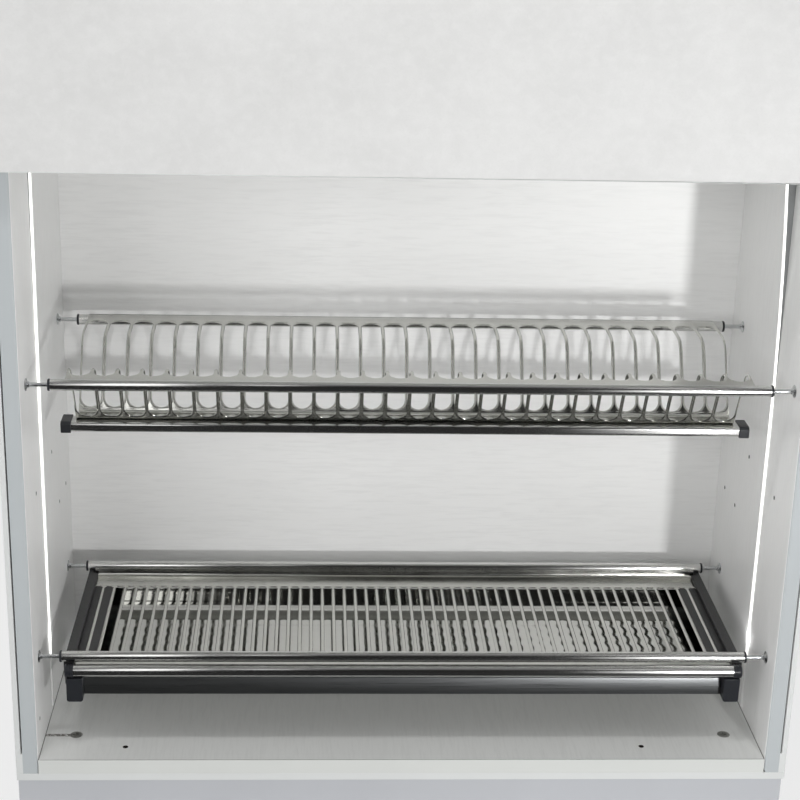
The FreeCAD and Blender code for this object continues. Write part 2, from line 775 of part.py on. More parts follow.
def make_tray():
    half = rail_outer_x - rail_wall - tray_side_gap
    y0 = tray_front_y
    keep("drip_tray", open_box(half, y0, tray_rear_y, tray_bottom, tray_bottom + tray_height,
                               tray_wall, tray_bend))
    top = tray_bottom + tray_front_height
    depth = tray_front_thickness
    cap_x = half - tray_cap_width
    low = tray_bottom - tray_front_drop
    outline = [(y0 - depth, low), (y0, low), (y0, top), (y0 - depth + tray_front_tilt, top),
               (y0 - depth, (low + top) / 2)]
    keep("tray_front", prism_x(outline, -cap_x, cap_x))
    cap_top = nosing_z - nosing_radius - nosing_cap_over - tray_cap_head_gap
    cap = box(cap_x, half, y0 - tray_cap_depth, y0, tray_bottom - tray_cap_drop, cap_top)
    cap = round_edges(cap, tray_cap_corner, lambda edge: runs_along(edge, Vector(0, 1, 0))
                      and edge.BoundBox.ZMax < cap_top)
    keep("tray_front_caps", *both(cap))


# Lift door

def make_door():
    y1 = front - door_gap
    y0 = y1 - door_thickness
    z0 = floor + door_raised_up
    z1 = z0 + door_height
    edge = door_edge
    core = box(-outer_x + edge, outer_x - edge, y0, y1, z0 + edge, z1 - edge)
    holes = []
    for x, z in arm_screw_places():
        holes += both(round_y(arm_screw_radius, y1 - arm_screw_length, y1, x, z))
    keep("door_panel", cut_all(core, holes))
    keep("door_edging",
         box(-outer_x, outer_x, y0, y1, z0, z0 + edge),
         box(-outer_x, outer_x, y0, y1, z1 - edge, z1),
         *both(box(outer_x - edge, outer_x, y0, y1, z0 + edge, z1 - edge)))


def arm_screw_places():
    z = floor + slider_bottom_up
    x = (arm_inner_x + side_x) / 2
    return [(x - 8, z + slider_height * 0.25), (x - 8, z + slider_height * 0.75)]


def slider_screw_places():
    z = floor + slider_bottom_up
    return [(front + rail_middle_in, z + slider_height * share) for share in (0.25, 0.75)]


def make_arms():
    """Flat steel arms that reach from the sliders through the slots to the back of the door,
    each with a tab that holds the end of its balance spring."""
    x0 = side_x + arm_play
    x1 = x0 + arm_thickness
    z0 = floor + slider_bottom_up
    z1 = z0 + slider_height
    door_back = front - door_gap
    blade = box(x0, x1, door_back, front + arm_tab_in, z0, z1)
    flange = box(arm_inner_x, x1, door_back, door_back + arm_thickness, z0, z1)
    tab = box(side_x - coil_width - strip_gap, x1, front + arm_tab_in,
              front + arm_tab_in + arm_thickness, z0, z0 + strip_length)
    arm = blade.fuse([flange, tab]).removeSplitter()
    head, _ = arm_screw_head
    cuts = [round_y(arm_screw_radius + fit, door_back, door_back + arm_thickness, x, z)
            for x, z in arm_screw_places()]
    for y, z in slider_screw_places():
        cuts.append(Part.makeCone(arm_screw_radius + fit, slider_screw_head + fit, arm_thickness,
                                  Vector(x0, y, z), Vector(1, 0, 0)))
    arm = cut_all(arm, cuts)
    keep("door_arms", *both(arm))


def make_sliders():
    z0 = floor + slider_bottom_up
    z1 = z0 + slider_height
    web = side_x - guide_depth + rail_play + rail_metal
    lip = side_x - rail_play - rail_metal
    y0 = front + guide_start_in + rail_play + rail_metal
    y1 = y0 + rail_width - 2 * rail_metal
    neck0, neck1 = y0 - rail_metal + rail_lip, y1 + rail_metal - rail_lip
    body = box(web + slider_play, lip - slider_play, y0 + slider_play, y1 - slider_play, z0, z1)
    neck = box(lip - slider_play, side_x + arm_play, neck0 + slider_play, neck1 - slider_play,
               z0, z1)
    block = body.fuse(neck).removeSplitter()
    block = cut_all(block, [round_x(arm_screw_radius, web + 2, side_x + arm_play, y, z)
                            for y, z in slider_screw_places()])
    keep("door_sliders", *both(block))
    buffer_z = floor + guide_foot_up
    keep("door_buffers", *both(box(web, lip, y0 + slider_play, y1 - slider_play,
                                   buffer_z, buffer_z + buffer_height)))


def make_door_screws():
    screws = []
    radius, height = arm_screw_head
    door_back = front - door_gap
    for x, z in arm_screw_places():
        shank = round_y(arm_screw_radius, door_back - arm_screw_length,
                        door_back + arm_thickness, x, z)
        head = round_y(radius, door_back + arm_thickness, door_back + arm_thickness + height, x, z)
        screws += both(shank.fuse(head))
    x0 = side_x + arm_play
    web = side_x - guide_depth + rail_play + rail_metal
    for y, z in slider_screw_places():
        shank = round_x(arm_screw_radius, web + 2, x0, y, z)
        head = Part.makeCone(arm_screw_radius, slider_screw_head, arm_thickness,
                             Vector(x0, y, z), Vector(1, 0, 0))
        screws += both(shank.fuse(head))
    keep("door_screws", *screws)


def make_door_rails():
    x0 = side_x - guide_depth + rail_play
    x1 = side_x - rail_play
    y0 = front + guide_start_in + rail_play
    y1 = y0 + rail_width
    z0, z1 = floor + guide_foot_up, carcass_top - rail_top_gap
    rail = box(x0, x1, y0, y1, z0, z1)
    rail = cut_all(rail, [
        box(x0 + rail_metal, x1 - rail_metal, y0 + rail_metal, y1 - rail_metal, z0, z1),
        box(x1 - rail_metal, x1, y0 + rail_lip, y1 - rail_lip, z0, z1)])
    holes, screws = [], []
    for up in rail_screws_up:
        y, z = front + rail_middle_in, floor + up
        holes.append(Part.makeCone(rail_screw_radius + fit, rail_screw_head + fit, rail_metal,
                                   Vector(x0, y, z), Vector(1, 0, 0)))
        shank = round_x(rail_screw_radius, x0 - rail_play - rail_screw_grip, x0, y, z)
        head = Part.makeCone(rail_screw_radius, rail_screw_head, rail_metal,
                             Vector(x0, y, z), Vector(1, 0, 0))
        screws += both(shank.fuse(head))
    rail = cut_all(rail, holes)
    keep("door_rail_right", rail)
    keep("door_rail_left", mirrored(rail))
    keep("rail_screws", *screws)


def make_balance():
    """Coiled strip springs that carry the door's weight, each on a nylon hub and a steel pin."""
    y, z = front + coil_in, floor + coil_centre_up
    x1 = side_x - 1.0
    x0 = x1 - coil_width
    coil = round_x(coil_radius, x0, x1, y, z).cut(round_x(coil_bore, x0, x1, y, z))
    hub = round_x(coil_bore - fit / 2, x0, x1, y, z)
    hub = hub.fuse(round_x(coil_bore + 2, side_x - guide_depth + fit, x0, y, z))
    hub = hub.cut(round_x(axle_radius + axle_play, side_x - guide_depth, x1, y, z))
    keep("spring_coil_right", coil)
    keep("spring_coil_left", mirrored(coil))
    keep("spring_hub_right", hub.removeSplitter())
    keep("spring_hub_left", mirrored(hub.removeSplitter()))
    axle = round_x(axle_radius, side_x - guide_depth - axle_grip, side_x - fit, y, z)
    keep("spring_axles", *both(axle))
    strip_y = y - coil_radius - strip_gap
    foot = floor + slider_bottom_up
    strip = box(x0, x1, strip_y - strip_thickness, strip_y, foot + 1, z)
    keep("spring_strips", *both(strip))


rail_middle_in = guide_start_in + rail_play + rail_width / 2
arm_tab_in = guide_start_in + rail_play + rail_width + 1.0
coil_in = arm_tab_in + arm_thickness + strip_thickness + strip_gap + coil_radius

make_panels()
make_sides()
make_plinth()
make_fittings()
make_lights()
make_tubes()
make_rods()
make_plate_rack()
make_trough_bar()
make_drain_sheet()
make_nosing()
make_rails()
make_tray()
make_door()
make_arms()
make_sliders()
make_door_screws()
make_door_rails()
make_balance()

os.makedirs("parts", exist_ok=True)
for name, shape in parts.items():
    shape.exportStep("parts/" + name + ".step")
print(len(parts), "nodes,", sum(len(shape.Solids) for shape in parts.values()), "solids")
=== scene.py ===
# %% [markdown]
# # Dish drainer cabinet
# A white kitchen cabinet stands on a plinth. Its door is raised on hidden side guides, two light
# bars run up its side panels, and two racks of polished steel hang between them on thin rods.
# The sizes come from a finished construction model, which this lesson loads first. Each piece
# that shows is then given the rounded edges, openings and finish of the real one.

# %% Load the construction model
import math

import bpy
from mathutils import Matrix, Vector


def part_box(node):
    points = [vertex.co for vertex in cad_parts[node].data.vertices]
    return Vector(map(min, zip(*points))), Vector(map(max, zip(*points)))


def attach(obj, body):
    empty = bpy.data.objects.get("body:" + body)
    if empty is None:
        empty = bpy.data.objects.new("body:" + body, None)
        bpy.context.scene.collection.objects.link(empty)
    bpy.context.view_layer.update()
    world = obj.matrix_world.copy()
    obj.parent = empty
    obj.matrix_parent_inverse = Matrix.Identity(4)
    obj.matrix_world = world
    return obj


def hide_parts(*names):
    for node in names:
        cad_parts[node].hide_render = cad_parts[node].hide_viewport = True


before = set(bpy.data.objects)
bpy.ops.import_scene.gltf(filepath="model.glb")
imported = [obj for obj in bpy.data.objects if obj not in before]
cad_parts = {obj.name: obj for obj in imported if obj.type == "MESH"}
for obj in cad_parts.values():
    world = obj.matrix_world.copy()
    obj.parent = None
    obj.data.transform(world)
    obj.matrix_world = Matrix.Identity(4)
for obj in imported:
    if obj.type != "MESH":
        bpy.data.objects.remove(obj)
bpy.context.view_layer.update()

MM = 0.001

# %% [markdown]
# ## Small tools
# An operator works on whatever is selected, so everything is deselected before each step.
# Edges and faces are picked by a test on their place, as a hand would pick them by eye.

# %% Selecting and editing
scene = bpy.context.scene
cursor = scene.cursor


def pick(piece):
    """Makes one piece the only selected and active one."""
    bpy.ops.object.select_all(action="DESELECT")
    piece.select_set(True)
    bpy.context.view_layer.objects.active = piece
    return piece


def mark_edges(piece, test):
    """Selects the edges whose two ends pass the test, ready for edit mode."""
    bpy.context.tool_settings.mesh_select_mode = (False, True, False)
    mesh = piece.data
    mesh.vertices.foreach_set("select", [False] * len(mesh.vertices))
    mesh.polygons.foreach_set("select", [False] * len(mesh.polygons))
    for edge in mesh.edges:
        first, second = (mesh.vertices[index].co for index in edge.vertices)
        edge.select = test(first, second)
    return sum(edge.select for edge in mesh.edges)


def mark_faces(piece, test):
    """Selects the faces whose middle and normal pass the test."""
    bpy.context.tool_settings.mesh_select_mode = (False, False, True)
    mesh = piece.data
    mesh.vertices.foreach_set("select", [False] * len(mesh.vertices))
    mesh.edges.foreach_set("select", [False] * len(mesh.edges))
    for face in mesh.polygons:
        face.select = test(face.center, face.normal)
    return sum(face.select for face in mesh.polygons)


def settle(piece):
    """Puts the piece's place, turn and size into its mesh."""
    pick(piece)
    bpy.ops.object.transform_apply(location=True, rotation=True, scale=True)
    return piece


def modify(piece, kind, **settings):
    """Adds a modifier and applies it at once."""
    pick(piece)
    modifier = piece.modifiers.new(kind.title(), kind)
    for name, value in settings.items():
        setattr(modifier, name, value)
    bpy.ops.object.modifier_apply(modifier=modifier.name)
    return piece


def soften(piece, width, segments=2, angle=30):
    """Rounds every sharp edge a little and shades the piece smoothly."""
    modify(piece, "BEVEL", width=width, segments=segments, limit_method="ANGLE",
           angle_limit=math.radians(angle), use_clamp_overlap=True)
    pick(piece)
    bpy.ops.object.shade_smooth_by_angle(angle=math.radians(angle + 10))
    modify(piece, "WEIGHTED_NORMAL", weight=100, keep_sharp=True)
    return piece


def own_copy(node, name):
    """A new piece with a construction piece's shape, its loose triangles joined to flat faces."""
    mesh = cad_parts[node].data.copy()
    mesh.name = name
    mesh.materials.clear()
    piece = bpy.data.objects.new(name, mesh)
    scene.collection.objects.link(piece)
    pick(piece)
    bpy.ops.object.mode_set(mode="EDIT")
    bpy.ops.mesh.select_all(action="SELECT")
    bpy.ops.mesh.remove_doubles(threshold=0.005 * MM)
    bpy.ops.mesh.dissolve_limited(angle_limit=math.radians(0.5))
    bpy.ops.object.mode_set(mode="OBJECT")
    return piece


def hand_over(piece, body, slot, material, *nodes):
    """Gives a finished piece its finish, its body and the construction pieces it stands for."""
    piece.data.materials.clear()
    piece.data.materials.append(material)
    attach(piece, body)
    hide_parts(*nodes)
    print(piece.name, len(piece.data.polygons), "faces")
    return piece


def dress(node, material):
    """Gives a construction piece that keeps its shape a finish of its own."""
    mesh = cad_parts[node].data
    mesh.materials.clear()
    mesh.materials.append(material)


# %% [markdown]
# ## Building finishes
# Every finish is a small node tree around one Principled shader. One helper adds a node, sets its
# inputs and returns it, and colours are written as sRGB hex values, as a paint chip would be read.

# %% Node helpers
def paint(code, alpha=1.0):
    """The linear colour of an sRGB hex value."""
    levels = [int(code[at:at + 2], 16) / 255 for at in (1, 3, 5)]
    linear = [c / 12.92 if c <= 0.04045 else ((c + 0.055) / 1.055) ** 2.4 for c in levels]
    return (*linear, alpha)


def add(tree, kind, inputs=None, **settings):
    """Adds a node. A value in inputs is either set on its socket or, if it's a socket, linked."""
    node = tree.nodes.new(kind)
    for name, value in settings.items():
        setattr(node, name, value)
    for name, value in (inputs or {}).items():
        if isinstance(value, bpy.types.NodeSocket):
            tree.links.new(value, node.inputs[name])
        else:
            node.inputs[name].default_value = value
    return node


def new_finish(name, **values):
    """A material with one Principled shader, whose plain values are set on its own sockets."""
    material = bpy.data.materials.new(name)
    material.use_nodes = True
    tree = material.node_tree
    shader = tree.nodes["Principled BSDF"]
    for socket, value in values.items():
        shader.inputs[socket.replace("_", " ")].default_value = value
    return material, tree, shader


def stretched(tree, scale, turn=(0, 0, 0)):
    """Object coordinates in millimetres, stretched along the axes."""
    place = add(tree, "ShaderNodeTexCoord")
    return add(tree, "ShaderNodeMapping",
               {"Vector": place.outputs["Object"], "Rotation": turn,
                "Scale": [1 / (size * MM) for size in scale]}).outputs["Vector"]


def noise(tree, vector, detail=2.0, roughness=0.5, distortion=0.0):
    return add(tree, "ShaderNodeTexNoise",
               {"Vector": vector, "Scale": 1.0, "Detail": detail, "Roughness": roughness,
                "Distortion": distortion}).outputs["Fac"]


def between(tree, factor, low, high, from_low=0.3, from_high=0.7):
    """Remaps a pattern, most of which lies from 0.3 to 0.7, to the given values."""
    return add(tree, "ShaderNodeMapRange",
               {"Value": factor, "From Min": from_low, "From Max": from_high,
                "To Min": low, "To Max": high}).outputs["Result"]


def blend_colours(tree, factor, first, second):
    mix = add(tree, "ShaderNodeMix", data_type="RGBA")
    tree.links.new(factor, mix.inputs["Factor"])
    for socket, colour in ((mix.inputs[6], first), (mix.inputs[7], second)):
        if isinstance(colour, bpy.types.NodeSocket):
            tree.links.new(colour, socket)
        else:
            socket.default_value = colour
    return mix.outputs[2]


def emboss(tree, shader, height, depth_mm, strength=1.0):
    bump = add(tree, "ShaderNodeBump", {"Height": height, "Distance": depth_mm * MM,
                                        "Strength": strength})
    tree.links.new(bump.outputs["Normal"], shader.inputs["Normal"])


# %% [markdown]
# ## The white boards
# The panels are chipboard with a white melamine face that is pressed with a shallow wood grain.
# The grain is too fine to see as colour. It shows where light glances off it, so it is a bump that
# is stretched along the grain. The back's grain runs across and the bottom's runs front to back.

# %% Laminates
def grained_laminate(name, colour, along, roughness=0.36, depth=0.055):
    """White melamine with an embossed grain. along is the axis the grain runs along."""
    material, tree, shader = new_finish(name, Roughness=roughness, IOR=1.5)
    streak_scale = [3.4] * 3
    streak_scale[along] = 42.0
    pore_scale = [1.9] * 3
    pore_scale[along] = 26.0
    streaks = noise(tree, stretched(tree, streak_scale), 2.0, 0.6, 0.5)
    pores = noise(tree, stretched(tree, pore_scale), 2.0, 0.55, 0.2)
    height = add(tree, "ShaderNodeMath", {0: pores, 1: 0.45, 2: streaks},
                 operation="MULTIPLY_ADD").outputs[0]
    emboss(tree, shader, height, depth)
    cloud = noise(tree, stretched(tree, (160, 160, 160)), 2.0)
    groove = between(tree, streaks, 0.0, 1.0, 0.30, 0.55)
    shade = add(tree, "ShaderNodeMath", {0: between(tree, cloud, 0.5, 1.0), 1: groove},
                operation="MULTIPLY").outputs[0]
    darker = tuple(0.94 * c for c in paint(colour)[:3]) + (1.0,)
    tree.links.new(blend_colours(tree, shade, darker, paint(colour)), shader.inputs["Base Color"])
    rough = between(tree, pores, roughness + 0.05, roughness - 0.04)
    tree.links.new(rough, shader.inputs["Roughness"])
    return material


def plain_laminate(name, colour, roughness=0.42, grain=0.02):
    """Smooth laminate with an even, slightly orange-peeled face."""
    material, tree, shader = new_finish(name, Roughness=roughness, IOR=1.5)
    peel = noise(tree, stretched(tree, (1.2, 1.2, 1.2)), 1.0)
    emboss(tree, shader, peel, grain)
    cloud = noise(tree, stretched(tree, (140, 140, 220)), 2.0)
    shade = between(tree, cloud, 0.0, 1.0)
    darker = tuple(0.96 * c for c in paint(colour)[:3]) + (1.0,)
    tree.links.new(blend_colours(tree, shade, darker, paint(colour)), shader.inputs["Base Color"])
    return material


def near(tree, value, place, reach, soft):
    """1 where a coordinate lies within reach of a place, and 0 beyond a soft border."""
    off = add(tree, "ShaderNodeMath", {0: value, 1: place}, operation="SUBTRACT").outputs[0]
    off = add(tree, "ShaderNodeMath", {0: off}, operation="ABSOLUTE").outputs[0]
    return add(tree, "ShaderNodeMapRange",
               {"Value": off, "From Min": reach, "From Max": reach + soft,
                "To Min": 1.0, "To Max": 0.0}).outputs["Result"]


def darken(material, mask, colour):
    """Lays a colour over a finish where the mask is 1."""
    tree = material.node_tree
    socket = tree.nodes["Principled BSDF"].inputs["Base Color"]
    below = socket.links[0].from_socket
    tree.links.new(blend_colours(tree, mask, below, paint(colour)), socket)


def all_of(tree, *masks):
    result = masks[0]
    for mask in masks[1:]:
        result = add(tree, "ShaderNodeMath", {0: result, 1: mask},
                     operation="MULTIPLY").outputs[0]
    return result


white_across = grained_laminate("white_melamine_grain_across", "#F4F4F3", 0)
white_upright = grained_laminate("white_melamine_grain_upright", "#F4F4F3", 2, depth=0.05)
# The bottom and top boards take a greyer copy of the white melamine: painted shade for the dim
# inside of the cabinet.
white_depth_painted_shade = grained_laminate("white_melamine_grain_front_to_back_painted_shade", "#DDDEDC", 1,
                               depth=0.08)
edge_grey = plain_laminate("pale_grey_abs_edge_band", "#CDCFCE")
post_grey = plain_laminate("grey_abs_post_edge_band", "#AFB4B6")
edge_white = plain_laminate("white_abs_edge_band", "#C9CBC8")
# Inside the drilled holes the cut chipboard core is painted near black: painted shade for the dark
# deep in each hole, darker than the core's own colour.
hole_shade_chipboard, tree, shader = new_finish("chipboard_core_painted_hole_shade", Roughness=0.9, IOR=1.5)
chips = noise(tree, stretched(tree, (1.6, 1.6, 1.6)), 3.0)
tree.links.new(blend_colours(tree, between(tree, chips, 0, 1), paint("#100E0C"),
                             paint("#2E2721")), shader.inputs["Base Color"])
emboss(tree, shader, chips, 0.3)
plinth_grey = plain_laminate("grey_blue_plinth_laminate", "#B7B9BD", 0.5)
print("laminates:", [m.name for m in (white_across, white_upright, white_depth_painted_shade)])

# %% Painted shade, dirt and wear on the bottom board
# A dark line of painted shade and dirt marks where it meets the sides and its own edge band, and
# the laminate is chipped between the left side and the cam lock there.
tree = white_depth_painted_shade.node_tree
spot = add(tree, "ShaderNodeSeparateXYZ",
           {"Vector": add(tree, "ShaderNodeTexCoord").outputs["Object"]}).outputs
bottom_front, bottom_side = -0.175, 0.432
for place in (-bottom_side, bottom_side):
    darken(white_depth_painted_shade, near(tree, spot["X"], place, 0.5 * MM, 0.7 * MM), "#4C4A45")
band_shade_and_dirt_line = all_of(tree, near(tree, spot["Y"], bottom_front, 0.7 * MM, 0.5 * MM),
                   near(tree, spot["Z"], 0.107, 4 * MM, 1 * MM))
darken(white_depth_painted_shade, band_shade_and_dirt_line, "#7E807C")
ragged = noise(tree, stretched(tree, (3, 1.6, 3)), 3.0, 0.7)
torn = between(tree, ragged, -1.6, 1.4)
chip = all_of(tree, near(tree, spot["X"], -0.4137, 17.6 * MM, 1 * MM),
              near(tree, spot["Y"], -0.118, 1.6 * MM, 2.2 * MM),
              add(tree, "ShaderNodeMath", {0: torn, 1: 0.9}, operation="ADD",
                  use_clamp=True).outputs[0])
darken(white_depth_painted_shade, chip, "#3F3327")

# %% Eased boards
def along_front(first, second, x):
    """Is this the upright front edge at x of a board in the cabinet's front?"""
    return (abs(first.x - x) < 0.1 * MM and abs(second.x - x) < 0.1 * MM
            and abs(first.y - cabinet_front) < 0.1 * MM
            and abs(second.y - cabinet_front) < 0.1 * MM
            and abs(first.z - second.z) > 100 * MM)


def inside_hole(face, depth):
    """Is this one of the small faces round a drilled hole, below the board's face?"""
    return face.area < 20 * MM ** 2 and 0.5 * MM < depth < 17.5 * MM


cabinet_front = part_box("side_panel_right")[0].y
inner_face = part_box("side_panel_right")[0].x
front_round = 3.2 * MM
board_edge = 0.6 * MM

for side, sign in (("left", -1), ("right", 1)):
    post = own_copy("side_panel_" + side, "grooved_side_board_" + side)
    mark_edges(post, lambda a, b: along_front(a, b, sign * inner_face))
    pick(post)
    bpy.ops.object.mode_set(mode="EDIT")
    bpy.ops.mesh.bevel(offset=front_round, segments=5, affect="EDGES")
    bpy.ops.object.mode_set(mode="OBJECT")
    soften(post, board_edge * 0.5, 2)
    hand_over(post, "root", "board", white_upright, "side_panel_" + side)
    post.data.materials.append(post_grey)
    # Faces round the drilled holes take the near-black core: painted shade in the holes.
    post.data.materials.append(hole_shade_chipboard)
    for face in post.data.polygons:
        face.material_index = 1 if face.center.y < cabinet_front + 1 * MM else 0
        if inside_hole(face, abs(face.center.x) - inner_face):
            face.material_index = 2

for node, name, material, slot in (
        ("bottom_panel", "bottom_board", white_depth_painted_shade, "board"),
        ("top_panel", "top_board", white_depth_painted_shade, "board"),
        ("back_panel", "back_board", white_across, "board"),
        ("hanging_rail", "hanging_rail_board", white_across, "board"),
        ("end_skin_left", "finishing_board_left", edge_grey, "edge_board"),
        ("end_skin_right", "finishing_board_right", edge_grey, "edge_board"),
        ("base_board", "thin_base_board", edge_grey, "edge_board"),
        ("plinth_boards", "plinth_long_boards", plinth_grey, "plinth"),
        ("plinth_ends", "plinth_end_boards", plinth_grey, "plinth"),
        ("plinth_rib", "plinth_middle_board", plinth_grey, "plinth")):
    board = soften(own_copy(node, name), board_edge * 0.5, 2)
    hand_over(board, "root", slot, material, node)
    if node == "bottom_panel":
        board.data.materials.append(edge_white)
        # Faces round the drilled holes take the near-black core: painted shade in the holes.
        board.data.materials.append(hole_shade_chipboard)
        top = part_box(node)[1].z
        for face in board.data.polygons:
            if face.normal.y < -0.8 and face.center.y < cabinet_front + 0.5 * MM:
                face.material_index = 1
            elif inside_hole(face, top - face.center.z):
                face.material_index = 2

# %% [markdown]
# ## The lift door
# The door is faced with a pale laminate printed like trowelled concrete: soft clouds a hand wide,
# finer blotches in them, and a little speckle. Three noises at those sizes give it.

# %% Concrete-look laminate
concrete, tree, shader = new_finish("pale_concrete_laminate", Roughness=0.55, IOR=1.5)
clouds = noise(tree, stretched(tree, (150, 150, 110)), 4.0, 0.55, 0.6)
blotches = noise(tree, stretched(tree, (15, 15, 12)), 5.0, 0.62, 0.3)
specks = noise(tree, stretched(tree, (2.4, 2.4, 2.4)), 2.0, 0.6)
tone = blend_colours(tree, between(tree, clouds, 0, 1, 0.35, 0.65), paint("#C6C6C5"),
                     paint("#CCCCCB"))
tone = blend_colours(tree, between(tree, blotches, 0, 0.4, 0.42, 0.75), tone, paint("#D6D6D5"))
tone = blend_colours(tree, between(tree, specks, 0, 0.16, 0.5, 0.75), tone, paint("#B9B9B7"))
tree.links.new(tone, shader.inputs["Base Color"])
emboss(tree, shader, blotches, 0.04)

# %% Door panel and edge band
door = soften(own_copy("door_panel", "concrete_look_door"), 0.3 * MM, 2)
hand_over(door, "door", "door", concrete, "door_panel")
band = soften(own_copy("door_edging", "door_edge_band"), 0.3 * MM, 2)
hand_over(band, "door", "door", edge_grey, "door_edging")

# %% [markdown]
# ## Metals and plastics
# The rack is polished stainless steel. Polishing leaves a faint hairline along each bar, which
# stretches the reflections across it. A metal's colour is its reflection colour, so the steel is a
# light warm grey and the chromed rods are a little cooler.

# %% Polished steels
def polished_steel(name, colour, roughness, hair=(60, 60, 60), hair_depth=0.0):
    """Polished metal whose shine varies a little along fine hairlines."""
    material, tree, shader = new_finish(name, Metallic=1.0, Roughness=roughness)
    shader.inputs["Base Color"].default_value = paint(colour)
    hairlines = noise(tree, stretched(tree, hair), 3.0, 0.6)
    tree.links.new(between(tree, hairlines, roughness * 0.75, roughness * 1.35),
                   shader.inputs["Roughness"])
    if hair_depth:
        emboss(tree, shader, hairlines, hair_depth)
    return material


def drawn_tube(name, colour, roughness):
    """Tube that was polished along its length: it blurs a reflection round the tube only."""
    material, tree, shader = new_finish(name, Metallic=1.0, Roughness=roughness,
                                        Anisotropic=0.9, Anisotropic_Rotation=0.25)
    shader.inputs["Base Color"].default_value = paint(colour)
    lengthwise = add(tree, "ShaderNodeCombineXYZ", {"X": 1.0})
    tree.links.new(lengthwise.outputs["Vector"], shader.inputs["Tangent"])
    hairlines = noise(tree, stretched(tree, (900, 3, 3)), 2.0, 0.5)
    tree.links.new(between(tree, hairlines, roughness * 0.94, roughness * 1.06),
                   shader.inputs["Roughness"])
    return material


tube_steel = drawn_tube("polished_stainless_tube", "#D6D6D4", 0.17)
rack_steel = polished_steel("stamped_polished_stainless", "#C6C6C1", 0.14, (30, 30, 30))
rod_chrome = polished_steel("bright_zinc_plated_rod", "#CDCFD0", 0.22, (20, 4, 4))
zinc_steel = polished_steel("zinc_plated_steel", "#B9BDBF", 0.32, (12, 12, 12), 0.01)
zinc_casting = polished_steel("die_cast_zinc", "#A3A39F", 0.38, (2, 2, 2), 0.03)
bare_aluminium = polished_steel("anodised_aluminium", "#C6C8CA", 0.34, (0.6, 0.6, 80), 0.003)
spring_steel = polished_steel("blued_spring_steel", "#8F9092", 0.25, (8, 8, 8))

# %% Moulded plastics, rubber and wood
def moulded_plastic(name, colour, roughness, spark=0.9, spark_depth=0.03):
    """Moulded plastic with the fine spark-eroded texture of its mould."""
    material, tree, shader = new_finish(name, Roughness=roughness, IOR=1.5)
    shader.inputs["Base Color"].default_value = paint(colour)
    texture = noise(tree, stretched(tree, (spark, spark, spark)), 2.0)
    emboss(tree, shader, texture, spark_depth)
    tree.links.new(between(tree, texture, roughness - 0.05, roughness + 0.08),
                   shader.inputs["Roughness"])
    return material


black_plastic = moulded_plastic("black_moulded_abs", "#2B2B2C", 0.46)
cap_plastic = moulded_plastic("black_moulded_end_cap", "#24262A", 0.34)
nylon = moulded_plastic("natural_nylon", "#DAD6C8", 0.45)
rubber = moulded_plastic("black_buffer_rubber", "#1E1E1E", 0.75)
circuit_white = moulded_plastic("white_flexible_circuit", "#E6E6E0", 0.5)

beech, tree, shader = new_finish("fluted_beech_dowel", Roughness=0.6, IOR=1.5)
fibres = noise(tree, stretched(tree, (20, 0.8, 0.8)), 3.0)
tree.links.new(blend_colours(tree, between(tree, fibres, 0, 1), paint("#C79F6B"),
                             paint("#E0C193")), shader.inputs["Base Color"])
emboss(tree, shader, fibres, 0.05)

# %% [markdown]
# ## Tubes, bushes and rods
# These are all turned shapes. Each starts as a circle that is extruded from ring to ring along the
# cabinet's width and resized at each one, which is how a lathe profile is drawn by hand.

# %% Turned shapes
def turned(name, rings, y, z, sides=48, close=False):
    """A shape about an axis along X. rings are (x, radius); close joins the last to the first."""
    bpy.ops.object.select_all(action="DESELECT")
    x, radius = rings[0]
    bpy.ops.mesh.primitive_circle_add(vertices=sides, radius=radius, location=(x, y, z),
                                      rotation=(0, math.pi / 2, 0),
                                      fill_type="NOTHING" if close else "NGON")
    piece = bpy.context.object
    piece.name = piece.data.name = name
    settle(piece)
    bpy.ops.object.mode_set(mode="EDIT")
    bpy.ops.mesh.select_all(action="SELECT")
    for next_x, next_radius in rings[1:] + (rings[:1] if close else []):
        bpy.ops.mesh.extrude_region_move(TRANSFORM_OT_translate={"value": (next_x - x, 0, 0)})
        scale = next_radius / radius
        bpy.ops.transform.resize(value=(1, scale, scale), center_override=(next_x, y, z))
        x, radius = next_x, next_radius
    bpy.ops.mesh.select_all(action="SELECT")
    bpy.ops.mesh.remove_doubles(threshold=0.001 * MM)
    bpy.ops.mesh.normals_make_consistent(inside=False)
    bpy.ops.object.mode_set(mode="OBJECT")
    bpy.ops.object.shade_smooth_by_angle(angle=math.radians(35))
    return piece


def joined(name, pieces):
    """Makes one piece of several."""
    bpy.ops.object.select_all(action="DESELECT")
    for piece in pieces:
        piece.select_set(True)
    bpy.context.view_layer.objects.active = pieces[0]
    if len(pieces) > 1:
        bpy.ops.object.join()
    result = bpy.context.object
    result.name = result.data.name = name
    return result


def mirrored_rings(rings):
    return [(-x, radius) for x, radius in rings]


# %% Rack tubes
tube_radius = 6.35 * MM
tube_wall = 1.0 * MM
tube_end_round = 0.3 * MM


def open_tube(name, half_length, radius, y, z):
    """A tube with a wall, and slightly rounded ends."""
    r, e = radius, tube_end_round
    rings = [(-half_length, r - e), (-half_length + e, r), (half_length - e, r),
             (half_length, r - e), (half_length, r - tube_wall), (-half_length, r - tube_wall)]
    return turned(name, rings, y, z, 64, close=True)


levels = {}
for rack in ("upper", "lower"):
    low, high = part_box(rack + "_tubes")
    axis_z = (low.z + high.z) / 2
    axes_y = (low.y + tube_radius, high.y - tube_radius)
    levels[rack] = (axis_z, axes_y)
    tubes = [open_tube("tube", high.x, tube_radius, y, axis_z) for y in axes_y]
    hand_over(joined(rack + "_rack_tubes", tubes), "root", "chromed", tube_steel,
              rack + "_tubes")
tube_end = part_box("upper_tubes")[1].x
print("tubes end at", round(tube_end / MM, 1), "mm")

